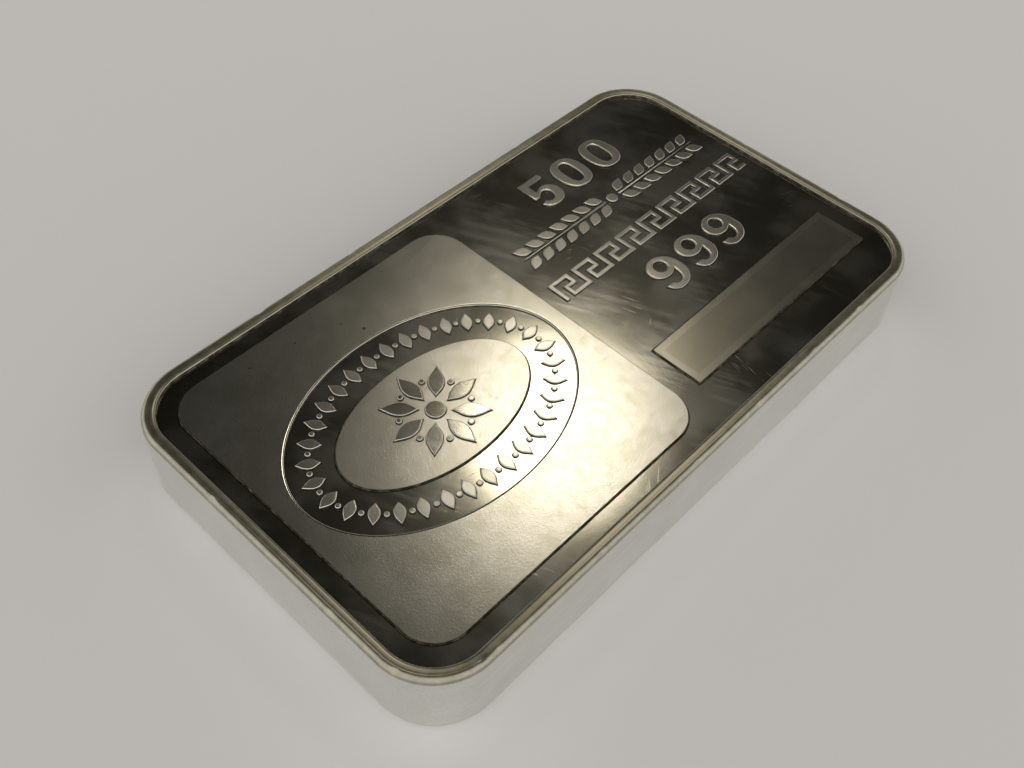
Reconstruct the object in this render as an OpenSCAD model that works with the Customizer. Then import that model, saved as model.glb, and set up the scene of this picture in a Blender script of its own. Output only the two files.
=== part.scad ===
// A struck silver bar: one solid with a raised rim, a recessed field, a raised square
// panel with an oval band sunk into it, and a raised plate for a number.
// Origin at the middle of the underside, +X towards the plate's end, +Z out of the struck face.

/* [Bar] */
// Length over the outer edges
bar_length = 90; // [75:1:108]
// Width over the outer edges
bar_width = 52; // [43:1:63]
// Thickness from the underside to the top of the rim
bar_thickness = 10.7; // [8:0.1:14]
// Radius of the four corners in plan
corner_radius = 8; // [6:0.1:10]
// Radius that softens the edges of the top and the underside
edge_radius = 0.7; // [0.2:0.1:1]

/* [Rim and field] */
// Width of the rim in plan, from the outer side to the field
rim_width = 1.5; // [1.1:0.1:2.5]
// Depth of the field below the top of the rim
field_depth = 0.55; // [0.4:0.05:0.9]

/* [Panel] */
// Length of the panel along the bar
panel_length = 43.3; // [40:0.1:53]
// Flat gap between the panel and the rim on three sides
panel_gap = 2.3; // [1:0.1:3]
// Radius of the panel's corners
panel_radius = 4.7; // [2:0.1:7]
// Height of the panel above the field
panel_height = 0.25; // [0.1:0.05:0.4]

/* [Oval band] */
// Outer length of the band, along the bar
band_length = 38.8; // [30:0.1:39]
// Outer width of the band, across the bar
band_width = 27.2; // [20:0.1:33]
// Width of the sunk ring itself
band_ring = 5.8; // [3:0.1:7]
// Depth of the ring's floor below the top of the panel
band_depth = 0.25; // [0.1:0.05:0.8]

/* [Number plate] */
// Width of the plate, across the bar
plate_width = 7.55; // [4:0.05:12]
// Gap between the plate and the panel
plate_panel_gap = 2.9; // [1:0.05:5]
// Gap between the plate and the rim at the end of the bar
plate_end_gap = 2.95; // [1:0.05:5]
// Gap between the plate and the rim along the side of the bar
plate_side_gap = 5.45; // [2:0.05:8]
// Height of the plate above the field
plate_height = 0.25; // [0.1:0.05:0.4]

/* [Hidden] */
$fn = 96;

// Depth below the field from which a raised part is drawn, so that it is one with the bar
rooted = 1;
// How far a cut runs on above the face that it opens
clear_above = 1;

field_length = bar_length - 2 * rim_width;
field_width = bar_width - 2 * rim_width;
field_radius = corner_radius - rim_width;
field_z = bar_thickness - field_depth;

panel_width = field_width - 2 * panel_gap;
panel_x = (panel_length - field_length) / 2 + panel_gap;
panel_end_x = panel_x + panel_length / 2;
panel_z = field_z + panel_height;

plate_length = field_length / 2 - plate_end_gap - panel_end_x - plate_panel_gap;
plate_x = panel_end_x + plate_panel_gap + plate_length / 2;
plate_y = plate_side_gap + (plate_width - field_width) / 2;

// A rectangle with round corners, centred
module outline(length, width, radius) {
    square([length - 2 * radius, width], center = true);
    square([length, width - 2 * radius], center = true);
    for (x = [-1, 1], y = [-1, 1])
        translate([x * (length / 2 - radius), y * (width / 2 - radius)])
            circle(radius);
}

// An oval of a given length and width, centred
module oval(length, width) {
    scale([length / 2, width / 2]) circle(1);
}

// One round corner of the blank, a disc with its two rims softened
module blank_corner() {
    rotate_extrude()
        intersection() {
            translate([0, bar_thickness / 2])
                outline(2 * corner_radius, bar_thickness, edge_radius);
            square([corner_radius, bar_thickness]);
        }
}

// A straight slab of the blank along X, with its four long edges softened
module blank_slab(length, width) {
    translate([0, 0, bar_thickness / 2])
        rotate([90, 0, 90])
            linear_extrude(length, center = true)
                outline(width, bar_thickness, edge_radius);
}

// The plain blank before it is struck
module blank() {
    blank_slab(bar_length - 2 * corner_radius, bar_width);
    rotate([0, 0, 90])
        blank_slab(bar_width - 2 * corner_radius, bar_length);
    for (x = [-1, 1], y = [-1, 1])
        translate([x * (bar_length / 2 - corner_radius), y * (bar_width / 2 - corner_radius), 0])
            blank_corner();
}

// The hollow that leaves the rim standing
module field_cut() {
    translate([0, 0, field_z])
        linear_extrude(field_depth + clear_above)
            outline(field_length, field_width, field_radius);
}

module panel() {
    translate([panel_x, 0, field_z - rooted])
        linear_extrude(rooted + panel_height)
            outline(panel_length, panel_width, panel_radius);
}

// The sunk ring, which leaves the oval in its middle level with the panel
module band_cut() {
    translate([panel_x, 0, panel_z - band_depth])
        linear_extrude(band_depth + clear_above)
            difference() {
                oval(band_length, band_width);
                oval(band_length - 2 * band_ring, band_width - 2 * band_ring);
            }
}

module plate() {
    translate([plate_x, plate_y, field_z - rooted])
        linear_extrude(rooted + plate_height)
            square([plate_length, plate_width], center = true);
}

module bar() {
    color("silver")
        difference() {
            union() {
                difference() {
                    blank();
                    field_cut();
                }
                panel();
                plate();
            }
            band_cut();
        }
}

bar();
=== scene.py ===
import math

import bmesh
import bpy
from mathutils import Matrix, Vector, noise


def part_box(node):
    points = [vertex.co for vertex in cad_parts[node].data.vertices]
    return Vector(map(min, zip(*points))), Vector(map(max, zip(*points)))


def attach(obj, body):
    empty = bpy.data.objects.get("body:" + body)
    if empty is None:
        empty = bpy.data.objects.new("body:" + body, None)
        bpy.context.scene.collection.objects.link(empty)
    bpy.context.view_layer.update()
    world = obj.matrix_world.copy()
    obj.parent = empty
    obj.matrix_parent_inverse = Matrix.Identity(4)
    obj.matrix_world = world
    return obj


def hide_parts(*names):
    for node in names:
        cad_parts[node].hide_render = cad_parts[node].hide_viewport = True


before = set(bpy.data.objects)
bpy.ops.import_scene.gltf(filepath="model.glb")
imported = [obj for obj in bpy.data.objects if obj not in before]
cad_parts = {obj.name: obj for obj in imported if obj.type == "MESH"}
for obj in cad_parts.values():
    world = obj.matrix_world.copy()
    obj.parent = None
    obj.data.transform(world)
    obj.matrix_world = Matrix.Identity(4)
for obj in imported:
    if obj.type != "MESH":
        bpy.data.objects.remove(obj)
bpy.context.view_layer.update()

# ---------------------------------------------------------------------------
# The blank and its rim. The real bar is one piece of fine silver, cast, rolled
# and cut to a slab with round corners, then struck in a die, which leaves a
# satin rim round a sunk field. It is made here as one closed skin, in mm.
# ---------------------------------------------------------------------------
MM = 0.001
bar_low, bar_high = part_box("bar")
bar_length = (bar_high.x - bar_low.x) / MM
bar_width = (bar_high.y - bar_low.y) / MM
rim_top = bar_high.z / MM
corner_radius = 8.0
edge_radius = 0.7
field_depth = 0.55
field_floor = rim_top - field_depth

# The foot finish is painted near black where struck walls meet the field: painted shade, with some
# tarnish.
FIELD, FROST, PLATE, FRAME, EDGE, SHADED_FOOT, SIDE, PIT = range(8)
skin = bmesh.new()


def face_up(face, finish):
    """Turns a flat face up and gives it a finish."""
    face.normal_update()
    if face.normal.z < 0:
        face.normal_flip()
    face.material_index = finish
    face.smooth = False
    return face


def round_plate(length, width, radius, centre, height, segments, finish):
    """A flat face with round corners."""
    corners = bmesh.ops.create_grid(skin, x_segments=1, y_segments=1, size=0.5)["verts"]
    bmesh.ops.scale(skin, vec=(length, width, 1), verts=corners)
    bmesh.ops.translate(skin, vec=(*centre, height), verts=corners)
    cut = bmesh.ops.bevel(
        skin, geom=corners, affect="VERTICES", offset=radius, offset_type="OFFSET",
        segments=segments, profile=0.5, material=-1,
    )
    return face_up(cut["verts"][0].link_faces[0], finish)


def outline_of(faces):
    """The edges round a patch of faces, its holes included."""
    patch = set(faces)
    return {e for f in faces for e in f.edges if sum(g in patch for g in e.link_faces) == 1}


def fill(outline, finish):
    """Flat metal inside an outline, with a hole for each outline within it."""
    made = bmesh.ops.triangle_fill(
        skin, edges=list(outline), use_beauty=True, use_dissolve=False, normal=(0, 0, 1)
    )["geom"]
    return [face_up(g, finish) for g in made if isinstance(g, bmesh.types.BMFace)]


def strike(faces, profile, finish, dark=0):
    """Steps a flat patch inwards and up along a profile of (inset, rise). Its first
    dark steps, or its last ones for a count below nought, are painted near black:
    painted shade, with some tarnish. Returns the outline of its foot and the faces of its top."""
    ground = faces[0].material_index
    steps = range(len(profile))
    painted_shade_steps = steps[:dark] if dark >= 0 else steps[dark:]
    foot = None
    for number, (inset, rise) in enumerate(profile):
        walls = bmesh.ops.inset_region(
            skin, faces=faces, thickness=inset, use_boundary=True, use_even_offset=True
        )["faces"]
        if foot is None:
            foot = {e for wall in walls for e in wall.edges if len(e.link_faces) == 1}
        patch = set(faces)
        crossed = []
        for wall in walls:
            wall.material_index = SHADED_FOOT if number in painted_shade_steps else finish
            wall.smooth = rise != 0
            for loop in wall.loops:
                if not patch.isdisjoint(loop.edge.link_faces):
                    across = loop.link_loop_next.link_loop_next
                    inner = loop.link_loop_next.vert.co - loop.vert.co
                    outer = across.link_loop_next.vert.co - across.vert.co
                    if inner.dot(outer) >= 0:
                        crossed.append(loop.edge)
        if crossed:
            bmesh.ops.collapse(skin, edges=crossed)
            faces = [f for f in faces if f.is_valid]
        verts = list({v for f in faces for v in f.verts})
        bmesh.ops.translate(skin, vec=(0, 0, rise), verts=verts)
        if len(faces) > 1:
            outline = outline_of(faces)
            bmesh.ops.delete(skin, geom=faces, context="FACES")
            faces = fill([e for e in outline if e.is_valid], ground)
    return foot, faces


def turn_over(width, height, steps):
    """The profile of a wall that rounds over into a flat top."""
    turns = [math.pi / 2 * i / steps for i in range(steps + 1)]
    return [
        (width * (math.cos(a) - math.cos(b)), height * (math.sin(b) - math.sin(a)))
        for a, b in zip(turns, turns[1:])
    ]


def downwards(profile):
    """The same profile walked from the flat top down to a floor."""
    return [(inset, -rise) for inset, rise in reversed(profile)]


underside = round_plate(
    bar_length, bar_width, corner_radius, (0, 0), edge_radius, segments=48, finish=SIDE
)
edge_pitch = 0.26
for edge in [e for e in underside.edges if e.calc_length() > corner_radius]:
    bmesh.ops.subdivide_edges(skin, edges=[edge], cuts=round(edge.calc_length() / edge_pitch))

# The side rises in belts, so that its shading stays flat beside the rounded edges.
top = underside
keep_line = 0.05
top_belt = 0.5
tall_side = rim_top - 2 * (edge_radius + keep_line) - top_belt
for rise in (keep_line, tall_side, top_belt, keep_line):
    raised = bmesh.ops.extrude_face_region(skin, geom=[top])
    if top is not underside:
        bmesh.ops.delete(skin, geom=[top], context="FACES_ONLY")
    top = next(g for g in raised["geom"] if isinstance(g, bmesh.types.BMFace))
    lifted = [g for g in raised["geom"] if isinstance(g, bmesh.types.BMVert)]
    bmesh.ops.translate(skin, vec=(0, 0, rise), verts=lifted)
for face in skin.faces:
    face.material_index = SIDE
    face.smooth = True
underside.smooth = False
underside.normal_flip()
under_edge = [(inset, -rise) for inset, rise in turn_over(edge_radius, edge_radius, steps=5)]
strike([underside], under_edge, SIDE)

# From the outer edge inwards: a lip pressed up by the die, the flat of the rim
# just under it, a broad shoulder and a steep wall down to the field.
lip = [(0.05, -0.010), (0.05, -0.006)]
rim_flat = [(0.12, 0.002), (0.12, -0.002), (0.12, -0.014)]
rim_wall = [(0.05, 0.30)]
rim_shoulder = turn_over(0.53, 0.22, steps=8)
rim_outside = turn_over(edge_radius, edge_radius, steps=8)
rim_profile = rim_outside + lip + rim_flat + downwards(rim_wall + rim_shoulder)
top = face_up(top, FIELD)
# The last two steps, the steep foot of the rim's wall, are painted near black: painted shade, with
# some tarnish.
strike([top], rim_profile, EDGE, dark=-2)
field_outline = outline_of([top])
bmesh.ops.delete(skin, geom=[top], context="FACES_ONLY")

# Handling has left the outer edge a little uneven, with small nicks, each one a
# place on the edge with a width and a depth.
nicks = [
    (-37.6, -25.1, 0.7, 0.08), (-35.8, -25.9, 0.6, 0.09), (-20.4, -25.9, 0.5, 0.08),
    (-4.3, -25.9, 0.6, 0.10), (7.5, -25.9, 0.5, 0.12), (19.0, -25.9, 0.9, 0.10),
    (28.8, -25.9, 0.6, 0.16), (44.9, -12.6, 0.7, 0.10), (44.9, 3.5, 0.5, 0.12),
    (41.6, 24.6, 0.6, 0.10), (21.0, 25.9, 0.5, 0.09), (-9.6, 25.9, 0.6, 0.14),
    (-24.2, 25.9, 0.8, 0.12), (-44.9, 8.0, 0.7, 0.12), (-44.6, -20.2, 0.6, 0.16),
    (-44.9, -11.0, 0.5, 0.10),
]
nick_drop = 0.1
nick_slant = 0.7
worn_reach = 0.9
unevenness = 0.06
half_straight = Vector((bar_length / 2 - corner_radius, bar_width / 2 - corner_radius))
for vert in skin.verts:
    inner = Vector([max(-h, min(h, c)) for h, c in zip(half_straight, vert.co)])
    outward = vert.co.xy - inner
    from_edge = corner_radius - outward.length
    under_top = rim_top - vert.co.z
    if from_edge > worn_reach or under_top > worn_reach:
        continue
    outward = Vector((*outward.normalized(), 0))
    near = (1 - from_edge / worn_reach) * (1 - under_top / worn_reach)
    long_wave = noise.noise(vert.co * 0.4)
    short_wave = noise.noise(vert.co * 1.7)
    wave = max(0, 0.5 + 0.5 * long_wave + 0.25 * short_wave)
    shift = outward * (unevenness * near * wave)
    inwards_and_down = outward * nick_slant + Vector((0, 0, nick_slant))
    for x, y, width, depth in nicks:
        gap = (vert.co - Vector((x, y, rim_top - nick_drop))).length / width
        if gap < 1:
            shift += inwards_and_down * (depth * (1 - gap * gap) ** 2)
    vert.co -= shift


class Finish:
    """A silver material built from procedural nodes in the bar's own coordinates."""

    def __init__(self, name, metallic=1.0):
        self.material = bpy.data.materials.new(name)
        self.material.use_nodes = True
        self.nodes = self.material.node_tree.nodes
        self.links = self.material.node_tree.links
        self.shader = self.nodes["Principled BSDF"]
        self.shader.inputs["Metallic"].default_value = metallic
        self.shader.inputs["Coat Weight"].default_value = 1.0 if metallic == 1.0 else 0.0
        self.shader.inputs["Coat IOR"].default_value = 3.2
        self.shader.inputs["Coat Roughness"].default_value = 0.285
        self.place = self.nodes.new("ShaderNodeTexCoord").outputs["Object"]

    def along(self, angle, stretch):
        """Coordinates for marks that run one way in plan, drawn out that much."""
        node = self.nodes.new("ShaderNodeMapping")
        node.vector_type = "TEXTURE"
        node.inputs["Rotation"].default_value = (0, 0, math.radians(angle))
        node.inputs["Scale"].default_value = (stretch, 1, 1)
        self.links.new(self.place, node.inputs["Vector"])
        return node.outputs["Vector"]

    def clouds(self, size, detail=3.0, rough=0.5, place=None):
        """Soft noise with features of about a size in mm."""
        node = self.nodes.new("ShaderNodeTexNoise")
        node.inputs["Scale"].default_value = 1 / (size * MM)
        node.inputs["Detail"].default_value = detail
        node.inputs["Roughness"].default_value = rough
        self.links.new(place or self.place, node.inputs["Vector"])
        return node.outputs["Fac"]

    def span(self, value, low, high, to_low=0.0, to_high=1.0):
        """Spreads a value between two limits over another range, with soft ends."""
        node = self.nodes.new("ShaderNodeMapRange")
        node.interpolation_type = "SMOOTHSTEP"
        limits = {"From Min": low, "From Max": high, "To Min": to_low, "To Max": to_high}
        for name, number in limits.items():
            node.inputs[name].default_value = number
        self.links.new(value, node.inputs["Value"])
        return node.outputs["Result"]

    def combine(self, operation, a, b):
        """Two values, or a value and a number, combined by one arithmetic operation."""
        node = self.nodes.new("ShaderNodeMath")
        node.operation = operation
        for socket, value in zip(node.inputs, (a, b)):
            if isinstance(value, (int, float)):
                socket.default_value = value
            else:
                self.links.new(value, socket)
        return node.outputs["Value"]

    def tint(self, value, dark, light):
        """Colours the metal from dark to light as the value goes from 0 to 1."""
        node = self.nodes.new("ShaderNodeMix")
        node.data_type = "RGBA"
        node.inputs["A"].default_value = (*dark, 1)
        node.inputs["B"].default_value = (*light, 1)
        self.links.new(value, node.inputs["Factor"])
        self.links.new(node.outputs["Result"], self.shader.inputs["Base Color"])

    def roughness(self, value):
        """Drives the roughness of the metal."""
        self.links.new(value, self.shader.inputs["Roughness"])

    def relief(self, value, depth, under=None):
        """Bumps the surface by a height of depth mm, over another relief."""
        node = self.nodes.new("ShaderNodeBump")
        node.inputs["Distance"].default_value = depth * MM
        self.links.new(value, node.inputs["Height"])
        if under is not None:
            self.links.new(under, node.inputs["Normal"])
        for socket in ("Normal", "Coat Normal"):
            self.links.new(node.outputs["Normal"], self.shader.inputs[socket])
        return node.outputs["Normal"]


def satin_edge():
    """The rim is pressed by the plain edge of the die: evenly satin, a little worn."""
    f = Finish("satin_struck_edge")
    f.shader.inputs["Coat Weight"].default_value = 0.0
    wear = f.clouds(1.1, 4, 0.6)
    f.roughness(f.span(wear, 0.3, 0.7, 0.30, 0.34))
    f.tint(f.span(wear, 0.3, 0.7), (0.385, 0.37, 0.30), (0.485, 0.465, 0.39))
    f.relief(f.clouds(0.5, 3, 0.6), 0.0015)
    return f.material


def shaded_foot_finish():
    """The steep foot of each struck wall, coloured near black: painted shade, with tarnish and old
    polish settled in it.
    """
    f = Finish("tarnish_and_painted_shade")
    f.shader.inputs["Coat Weight"].default_value = 0.0
    stain_and_shade = f.clouds(0.7, 3, 0.6)
    f.roughness(f.span(stain_and_shade, 0.3, 0.7, 0.40, 0.30))
    f.tint(f.span(stain_and_shade, 0.4, 0.8), (0.03, 0.027, 0.018), (0.16, 0.15, 0.12))
    f.relief(stain_and_shade, 0.002)
    return f.material


def plain_side():
    """The sides and back: sheared and rolled, dull, with fine lines along them."""
    f = Finish("plain_rolled_silver")
    rolled = f.clouds(0.30, 3, 0.6, f.along(0, 25))
    wear = f.clouds(5, 4, 0.6)
    dull = f.combine("ADD", f.combine("MULTIPLY", rolled, 0.6), f.combine("MULTIPLY", wear, 0.4))
    f.roughness(f.span(dull, 0.35, 0.65, 0.30, 0.44))
    f.tint(f.span(dull, 0.35, 0.65), (0.56, 0.55, 0.50), (0.70, 0.69, 0.64))
    dents = f.relief(f.clouds(3.0, 2, 0.5), 0.03)
    f.relief(rolled, 0.012, dents)
    return f.material


finishes = {EDGE: satin_edge(), SHADED_FOOT: shaded_foot_finish(), SIDE: plain_side()}

# ---------------------------------------------------------------------------
# The frosted panel. The die leaves a low table over the left half of the
# field, with a polished oval band sunk in it round a frosted oval island.
# ---------------------------------------------------------------------------
panel_length = 43.3
panel_width = 44.4
panel_radius = 4.7
panel_centre = (-19.55, 0)
struck_height = 0.25
table_top = field_floor + struck_height
# A wall struck with the foot finish, as round the table, the island and the plate, is painted near
# black all the way up, and so is the flat first ring of wall_foot on the field: painted shade, with
# some tarnish.
wall_foot = [(0.12, 0.0), (0.03, 0.17)]
low_step = wall_foot + turn_over(0.10, 0.08, steps=4)
soft_step = [(0.03, 0.10)] + turn_over(0.30, 0.15, steps=8)

panel = round_plate(
    panel_length, panel_width, panel_radius, panel_centre, field_floor, segments=16, finish=FROST
)
foot, table = strike([panel], low_step, SHADED_FOOT)
field_outline |= foot
table_outline = outline_of(table)


def oval(half_length, half_width, height, finish):
    """A flat oval face in the middle of the panel."""
    edge = bmesh.ops.create_circle(skin, cap_ends=True, segments=192, radius=1)["verts"]
    bmesh.ops.scale(skin, vec=(half_length, half_width, 1), verts=edge)
    bmesh.ops.translate(skin, vec=(*panel_centre, height), verts=edge)
    return face_up(edge[0].link_faces[0], finish)


def pit(x, y, width, depth, height):
    """A small round pit in a flat face, dark at its bottom. Returns its outline."""
    edge = bmesh.ops.create_circle(skin, cap_ends=True, segments=10, radius=width / 2)["verts"]
    bmesh.ops.translate(skin, vec=(x, y, height), verts=edge)
    mouth, _ = strike([face_up(edge[0].link_faces[0], PIT)], [(width / 5, -depth)], PIT)
    return mouth


band_outer = (19.4, 13.6)
band_inner = (13.6, 7.8)
band = oval(*band_outer, table_top, FIELD)
# The last three steps, the steep foot of the band's wall, are painted near black: painted shade, with
# some tarnish.
foot, band = strike([band], downwards(soft_step), FIELD, dark=-3)
bmesh.ops.delete(skin, geom=table, context="FACES_ONLY")
pits = [
    (-30.5, 19.7, 0.48), (-24.3, 19.0, 0.36), (-18.5, 17.5, 0.24), (-17.0, 15.0, 0.44),
    (-36.4, 15.2, 0.20), (-9.0, 20.6, 0.18),
]
for x, y, width in pits:
    foot |= pit(x, y, width, width / 3, table_top)
fill(table_outline | foot, FROST)
band_outline = outline_of(band)
bmesh.ops.delete(skin, geom=band, context="FACES_ONLY")

island = oval(*band_inner, field_floor, FROST)
foot, island = strike([island], low_step, SHADED_FOOT)
band_outline |= foot
island_outline = outline_of(island)
bmesh.ops.delete(skin, geom=island, context="FACES_ONLY")


SHARP, SMOOTH = "VECTOR", "AUTO"


def drawn(loops, height, finish, smoothness):
    """Flat faces inside loops of (x, y, bend). A bend is sharp, smooth, or how far the
    curve reaches on each side of its point."""
    curve = bpy.data.curves.new("drawing", "CURVE")
    curve.dimensions = "2D"
    curve.fill_mode = "FRONT"
    curve.resolution_u = smoothness
    for loop in loops:
        spline = curve.splines.new("BEZIER")
        spline.bezier_points.add(len(loop) - 1)
        spline.use_cyclic_u = True
        for point, (x, y, bend) in zip(spline.bezier_points, loop):
            point.co = (x, y, 0)
            if bend in (SHARP, SMOOTH):
                point.handle_left_type = point.handle_right_type = bend
            else:
                point.handle_left_type = point.handle_right_type = "ALIGNED"
                point.handle_left = (x - bend[0], y - bend[1], 0)
                point.handle_right = (x + bend[0], y + bend[1], 0)
    drawing = bpy.data.objects.new("drawing", curve)
    bpy.context.scene.collection.objects.link(drawing)
    flat = bpy.data.meshes.new_from_object(drawing)
    flat.transform(Matrix.Translation((0, 0, height)))
    before = set(skin.faces)
    skin.from_mesh(flat)
    bpy.data.objects.remove(drawing)
    bpy.data.curves.remove(curve)
    bpy.data.meshes.remove(flat)
    return [face_up(f, finish) for f in skin.faces if f not in before]


def ring(x, y, width, height, fullness=0.5523):
    """A closed round loop, squarer as its fullness grows."""
    w, h = width / 2, height / 2
    bends = [(0, fullness * h), (-fullness * w, 0), (0, -fullness * h), (fullness * w, 0)]
    spots = [(x + w, y), (x, y + h), (x - w, y), (x, y - h)]
    return [(*spot, bend) for spot, bend in zip(spots, bends)]


def leaf(length, width, at, angle):
    """A leaf from its stalk to its tip, laid at a place and an angle."""
    c, s = math.cos(angle), math.sin(angle)
    points = [(0, 0, SHARP), (length * 0.45, width / 2, SMOOTH)]
    points += [(length, 0, SHARP), (length * 0.45, -width / 2, SMOOTH)]
    return [(at[0] + c * x - s * y, at[1] + s * x + c * y, bend) for x, y, bend in points]


def around_oval(half_length, half_width, count):
    """Evenly spaced places and outward angles on an oval."""
    steps = 720
    walk = [
        Vector((half_length * math.cos(t), half_width * math.sin(t)))
        for t in (2 * math.pi * i / steps for i in range(steps + 1))
    ]
    run = [0]
    for a, b in zip(walk, walk[1:]):
        run.append(run[-1] + (b - a).length)
    places = []
    for k in range(count):
        i = next(i for i in range(steps) if run[i + 1] > run[-1] * (k + 0.5) / count)
        along = walk[i + 1] - walk[i]
        places.append((walk[i], math.atan2(-along.x, along.y)))
    return places


# The tops of the struck figures are flat, with a narrow shoulder that catches
# the light; small ones have less of it.
# Where a crown is struck with dark=3, its flat first ring on the field, its wall and the start of its
# shoulder are painted near black: painted shade, with some tarnish.
crown = [(0.07, 0.0), (0.03, 0.17)] + turn_over(0.19, 0.08, steps=6)
small_crown = [(0.06, 0.0), (0.03, 0.17)] + turn_over(0.12, 0.08, steps=5)

# The band carries a border of leaves and beads, the island an eight-petal rosette.
middle = [(a + b) / 2 for a, b in zip(band_outer, band_inner)]
leaves_and_beads = 64
leaf_reach = 3.2
leaf_width = 1.55
bead_size = 0.85
leaves, beads = [], []
for number, (spot, outward) in enumerate(around_oval(*middle, leaves_and_beads)):
    x, y = panel_centre[0] + spot.x, panel_centre[1] + spot.y
    if number % 2:
        beads.append(ring(x, y, bead_size, bead_size))
    else:
        stalk = (x - leaf_reach / 2 * math.cos(outward), y - leaf_reach / 2 * math.sin(outward))
        leaves.append(leaf(leaf_reach, leaf_width, stalk, outward))
border = drawn(leaves + beads, field_floor, FROST, smoothness=6)
foot, _ = strike(border, small_crown, FROST, dark=3)
fill(band_outline | foot, FIELD)

petal_count = 8
petal_root = 1.75
petal_reach = 4.9
petal_width = 2.1
drop_circle = 4.4
drop_size = 0.9
heart_size = 2.6
petals = []
for k in range(petal_count):
    angle = 2 * math.pi / petal_count * k
    along = Vector((math.cos(angle), math.sin(angle)))
    stalk = Vector(panel_centre) + petal_root * along
    petals.append(leaf(petal_reach, petal_width, stalk, angle))
    between = angle + math.pi / petal_count
    drop = Vector(panel_centre) + drop_circle * Vector((math.cos(between), math.sin(between)))
    petals.append(ring(*drop, drop_size, drop_size))
petals.append(ring(*panel_centre, heart_size, heart_size))
rosette = drawn(petals, table_top, FIELD, smoothness=6)
foot, _ = strike(rosette, small_crown, FROST, dark=3)
fill(island_outline | foot, FROST)


def frosted(name, dark, light, coat_ior):
    """The blasted die leaves a fine even grain, a little cloudy where it has aged."""
    f = Finish(name)
    f.shader.inputs["Coat IOR"].default_value = coat_ior
    grain = f.clouds(0.14, 1, 0.5)
    patches = f.clouds(6, 4, 0.55)
    f.roughness(f.span(patches, 0.3, 0.7, 0.20, 0.22))
    mottle = f.clouds(1.1, 3, 0.65)
    shade = f.combine("ADD", f.combine("MULTIPLY", grain, 0.30), f.combine("MULTIPLY", patches, 0.30))
    shade = f.combine("ADD", shade, f.combine("MULTIPLY", mottle, 0.40))
    f.tint(f.span(shade, 0.43, 0.57), dark, light)
    f.relief(grain, 0.009)
    return f.material


def dark_pit():
    """The walls and bottom of a pit, coloured near black."""
    f = Finish("dark_pit", 0.4)
    f.tint(f.clouds(0.2), (0.03, 0.025, 0.015), (0.12, 0.10, 0.07))
    f.shader.inputs["Roughness"].default_value = 0.7
    return f.material


finishes[FROST] = frosted("frosted_silver", (0.66, 0.65, 0.54), (0.95, 0.93, 0.90), 3.2)
finishes[PIT] = dark_pit()

# ---------------------------------------------------------------------------
# The figures, struck as high as the panel: two plain numbers with a row of
# laurel and a row of key pattern between them, and a bare plate. Round them the
# field is polished to a mirror, which handling has hazed and scratched.
# ---------------------------------------------------------------------------
five = [
    (0.05, 6.10, SHARP), (3.95, 6.10, SHARP), (4.20, 5.55, SMOOTH), (3.95, 5.00, SHARP),
    (1.45, 5.00, SHARP), (1.45, 3.65, SHARP), (2.60, 4.05, SMOOTH), (3.90, 3.50, SMOOTH),
    (4.45, 2.15, SMOOTH), (3.95, 0.70, SMOOTH), (2.35, 0.00, SMOOTH), (0.85, 0.30, SMOOTH),
    (0.05, 1.35, SHARP), (1.10, 1.70, SHARP), (1.55, 1.28, SMOOTH), (2.15, 1.18, SMOOTH),
    (2.70, 1.55, SMOOTH), (2.86, 2.15, SMOOTH), (2.68, 2.80, SMOOTH), (2.15, 3.10, SMOOTH),
    (1.55, 2.92, SMOOTH), (1.05, 2.45, SHARP), (0.00, 2.40, SHARP),
]
nine = [
    (2.40, 6.10, SMOOTH), (4.25, 5.25, SMOOTH), (4.95, 3.45, SMOOTH), (4.45, 1.15, SMOOTH),
    (2.35, 0.00, SMOOTH), (0.80, 0.35, SMOOTH), (0.00, 1.60, SHARP), (1.45, 1.55, SHARP),
    (1.80, 1.15, SMOOTH), (2.35, 1.02, SMOOTH), (3.05, 1.50, SMOOTH), (3.38, 2.80, SHARP),
    (2.75, 2.52, SMOOTH), (1.85, 2.42, SMOOTH), (0.55, 2.95, SMOOTH), (0.00, 4.15, SMOOTH),
    (0.60, 5.45, SMOOTH),
]


def shifted(loop, x, y):
    """The same loop drawn at another place."""
    return [(px + x, py + y, bend) for px, py, bend in loop]


weight_foot = 13.75
zero_size = (5.0, 6.2)
zero_hole = (1.85, 4.05)
numbers = [shifted(five, 14.65, weight_foot)]
for x in (22.5, 28.45):
    numbers.append(ring(x, weight_foot + 3.08, *zero_size, fullness=0.68))
    numbers.append(ring(x, weight_foot + 3.12, *zero_hole, fullness=0.72))
fineness_foot = -7.75
nine_hole_at = (2.33, 4.38)
nine_hole = (1.7, 1.8)
for x in (14.6, 20.4, 26.2):
    numbers.append(shifted(nine, x, fineness_foot))
    numbers.append(ring(x + nine_hole_at[0], fineness_foot + nine_hole_at[1], *nine_hole))
figures = drawn(numbers, field_floor, FROST, smoothness=8)
foot, _ = strike(figures, crown, FROST, dark=3)
field_outline |= foot

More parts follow.
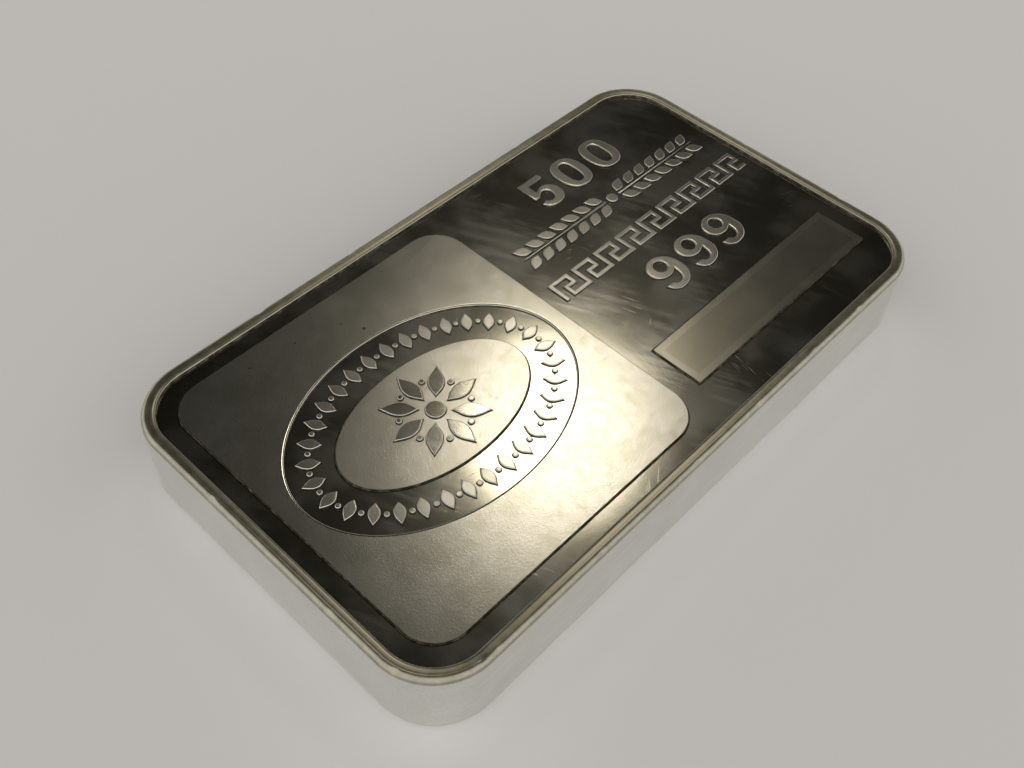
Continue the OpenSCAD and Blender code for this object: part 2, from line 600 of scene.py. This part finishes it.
laurel_middle = (22.6, 9.5)
laurel_bead = 1.8
leaf_pairs = 7
leaf_pitch = 2.3
first_leaf = 1.35
laurel_leaf = (3.0, 1.6)
leaf_lean = math.radians(36)
leaf_off_stem = 0.36
stem_root = 1.25
stem_tip = stem_root + leaf_pitch * leaf_pairs
root_half = 0.26
tip_half = 0.12
laurel = [ring(*laurel_middle, laurel_bead, laurel_bead)]
for side in (-1, 1):
    for k in range(leaf_pairs):
        x = laurel_middle[0] + side * (first_leaf + leaf_pitch * k)
        for lean in (-1, 1):
            angle = (0 if side > 0 else math.pi) + side * lean * leaf_lean
            stalk = (x, laurel_middle[1] + leaf_off_stem * lean)
            laurel.append(leaf(*laurel_leaf, stalk, angle))
    stem = [(stem_root, root_half), (stem_tip, tip_half)]
    stem += [(stem_tip, -tip_half), (stem_root, -root_half)]
    laurel.append([(laurel_middle[0] + side * x, laurel_middle[1] + y, SHARP) for x, y in stem])
laurel = drawn(laurel, field_floor, FROST, smoothness=5)
foot, _ = strike(laurel, small_crown, FROST, dark=3)
field_outline |= foot

# One turn of the key pattern, drawn in square cells and repeated along its row.
key_cell = 0.71
key_units = 9
key_start = (3.9, 0.82)
key_rows = ("#####.", "#...#.", "#.###.", "#.#...", "#.####")
unit = len(key_rows[0])
columns = unit * key_units - 1
rows = len(key_rows)
cells = bmesh.ops.create_grid(skin, x_segments=columns, y_segments=rows, size=0.5)["verts"]
bmesh.ops.scale(skin, vec=(columns * key_cell, rows * key_cell, 1), verts=cells)
shift = (key_start[0] + columns * key_cell / 2, key_start[1] + rows * key_cell / 2, field_floor)
bmesh.ops.translate(skin, vec=shift, verts=cells)
key, gaps = [], []
for face in {f for v in cells for f in v.link_faces}:
    spot = face.calc_center_median()
    column = int((spot.x - key_start[0]) / key_cell)
    row = rows - 1 - int((spot.y - key_start[1]) / key_cell)
    (key if key_rows[row][column % unit] == "#" else gaps).append(face)
bmesh.ops.delete(skin, geom=gaps, context="FACES")
for face in key:
    face_up(face, FROST)
foot, _ = strike(key, small_crown, FROST, dark=3)
field_outline |= foot

plate_length = 35.55
plate_width = 7.55
plate_radius = 0.25
plate_centre = (22.775, -15.275)
frame_width = 1.3
plate = round_plate(
    plate_length, plate_width, plate_radius, plate_centre, field_floor, segments=3, finish=PLATE
)
foot, plate = strike([plate], low_step, SHADED_FOOT)
strike(plate, [(frame_width, 0.0)], FRAME)
fill(field_outline | foot, FIELD)


def polished():
    """A mirror under a faint haze: fine rings of wiping, and longer scratches."""
    f = Finish("polished_silver")
    haze = f.span(f.clouds(9, 3, 0.55), 0.34, 0.68)
    rubbed = f.span(f.clouds(11, 2, 0.5), 0.42, 0.62)
    wiped = f.span(f.clouds(0.9, 5, 0.62, f.along(-68, 10)), 0.38, 0.68)
    wiped = f.combine("MULTIPLY", wiped, rubbed)
    veil = f.combine("ADD", f.combine("MULTIPLY", haze, 0.8), f.combine("MULTIPLY", wiped, 0.2))
    f.shader.inputs["Coat IOR"].default_value = 2.5
    f.shader.inputs["Coat Roughness"].default_value = 0.29
    marks = None
    # Each set of scratches has an angle, a width, and the size of the patches it is in.
    for angle, size, where in ((-72, 0.12, 6), (-18, 0.10, 8), (35, 0.11, 7), (78, 0.10, 9)):
        line = f.clouds(size, 0, 0.5, f.along(angle, 26))
        line = f.span(line, 0.70, 0.79)
        kept = f.span(f.clouds(where, 3, 0.55, f.along(angle, 1.5)), 0.50, 0.70)
        line = f.combine("MULTIPLY", line, kept)
        marks = line if marks is None else f.combine("MAXIMUM", marks, line)
    hazed = f.combine("MAXIMUM", f.span(veil, 0, 0.8, 0.30, 0.95), marks)
    f.links.new(hazed, f.shader.inputs["Coat Weight"])
    rough = f.span(wiped, 0, 1, 0.11, 0.145)
    f.roughness(f.combine("MAXIMUM", rough, f.combine("MULTIPLY", marks, 0.17)))
    f.tint(haze, (0.66, 0.645, 0.54), (0.765, 0.745, 0.665))
    waves = f.relief(f.clouds(2.5, 2, 0.5), 0.0015)
    f.relief(marks, -0.0008, waves)
    return f.material


finishes[FIELD] = polished()
finishes[PLATE] = frosted("worn_plate", (0.42, 0.385, 0.29), (0.58, 0.545, 0.43), 2.6)
finishes[FRAME] = frosted("plate_frame", (0.52, 0.49, 0.37), (0.74, 0.71, 0.60), 2.9)

# ---------------------------------------------------------------------------
# The finished bar: the skin is closed and in metres, and stands for the plain
# solid of the frame, with its box.
# ---------------------------------------------------------------------------
bmesh.ops.recalc_face_normals(skin, faces=skin.faces)
bmesh.ops.scale(skin, vec=(MM, MM, MM), verts=skin.verts)
skin_mesh = bpy.data.meshes.new("silver_bar")
skin.to_mesh(skin_mesh)
skin.free()
for slot in sorted(finishes):
    skin_mesh.materials.append(finishes[slot])
silver_bar = bpy.data.objects.new("silver_bar", skin_mesh)
bpy.context.scene.collection.objects.link(silver_bar)
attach(silver_bar, "root")
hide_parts("bar")

# ---------------------------------------------------------------------------
# The setting: a pale floor in a softly lit room with one dark side, which the
# mirror field shows, and a small soft lamp reflected in the frosted panel.
# ---------------------------------------------------------------------------
sheet = bmesh.new()
bmesh.ops.create_grid(sheet, x_segments=1, y_segments=1, size=1.5)
floor_mesh = bpy.data.meshes.new("floor")
sheet.to_mesh(floor_mesh)
sheet.free()
floor = bpy.data.objects.new("floor", floor_mesh)
bpy.context.scene.collection.objects.link(floor)
paper = bpy.data.materials.new("pale_paper")
paper.use_nodes = True
paper_shader = paper.node_tree.nodes["Principled BSDF"]
paper_shader.inputs["Base Color"].default_value = (0.86, 0.85, 0.87, 1)
paper_shader.inputs["Roughness"].default_value = 0.8
floor_mesh.materials.append(paper)

world = bpy.data.worlds.new("studio")
world.use_nodes = True
background = world.node_tree.nodes["Background"]
direction = world.node_tree.nodes.new("ShaderNodeTexCoord").outputs["Generated"]
towards = world.node_tree.nodes.new("ShaderNodeVectorMath")
towards.operation = "DOT_PRODUCT"
towards.inputs[1].default_value = (0.44, 0.40, 0.80)
dark_side = world.node_tree.nodes.new("ShaderNodeMapRange")
dark_side.interpolation_type = "SMOOTHSTEP"
dark_side.inputs["From Min"].default_value = 0.45
dark_side.inputs["From Max"].default_value = 0.93
room = world.node_tree.nodes.new("ShaderNodeMix")
room.data_type = "RGBA"
room.inputs["A"].default_value = (0.92, 0.90, 0.84, 1)
room.inputs["B"].default_value = (0.004, 0.004, 0.002, 1)
world.node_tree.links.new(direction, towards.inputs[0])
world.node_tree.links.new(towards.outputs["Value"], dark_side.inputs["Value"])
world.node_tree.links.new(dark_side.outputs["Result"], room.inputs["Factor"])
world.node_tree.links.new(room.outputs["Result"], background.inputs["Color"])
bpy.context.scene.world = world
bpy.context.scene.view_settings.view_transform = "Standard"

key_lamp = bpy.data.lights.new("key_lamp", "AREA")
key_lamp.shape = "DISK"
key_lamp.size = 0.112
key_lamp.energy = 0.135
key_lamp.color = (1.0, 0.91, 0.72)
key_holder = bpy.data.objects.new("key_lamp", key_lamp)
key_holder.location = (0.2760, 0.2090, 0.4840)
glow_spot = Vector((-0.0116, -0.0099, 0.0104))
aim = glow_spot - key_holder.location
key_holder.rotation_euler = aim.to_track_quat("-Z", "Y").to_euler()
bpy.context.scene.collection.objects.link(key_holder)

camera_data = bpy.data.cameras.new("camera")
camera_data.lens = 39.82
camera_data.sensor_width = 36.0
camera_data.clip_start = 0.01
camera_data.clip_end = 10.0
camera = bpy.data.objects.new("camera", camera_data)
camera.location = (-0.073444, -0.058348, 0.111919)
forward = Vector((0.47824, 0.41767, -0.77255))
upward = Vector((0.54418, 0.54951, 0.63396))
across = forward.cross(upward)
camera.rotation_euler = Matrix((across, upward, -forward)).transposed().to_euler()
bpy.context.scene.collection.objects.link(camera)
bpy.context.scene.camera = camera
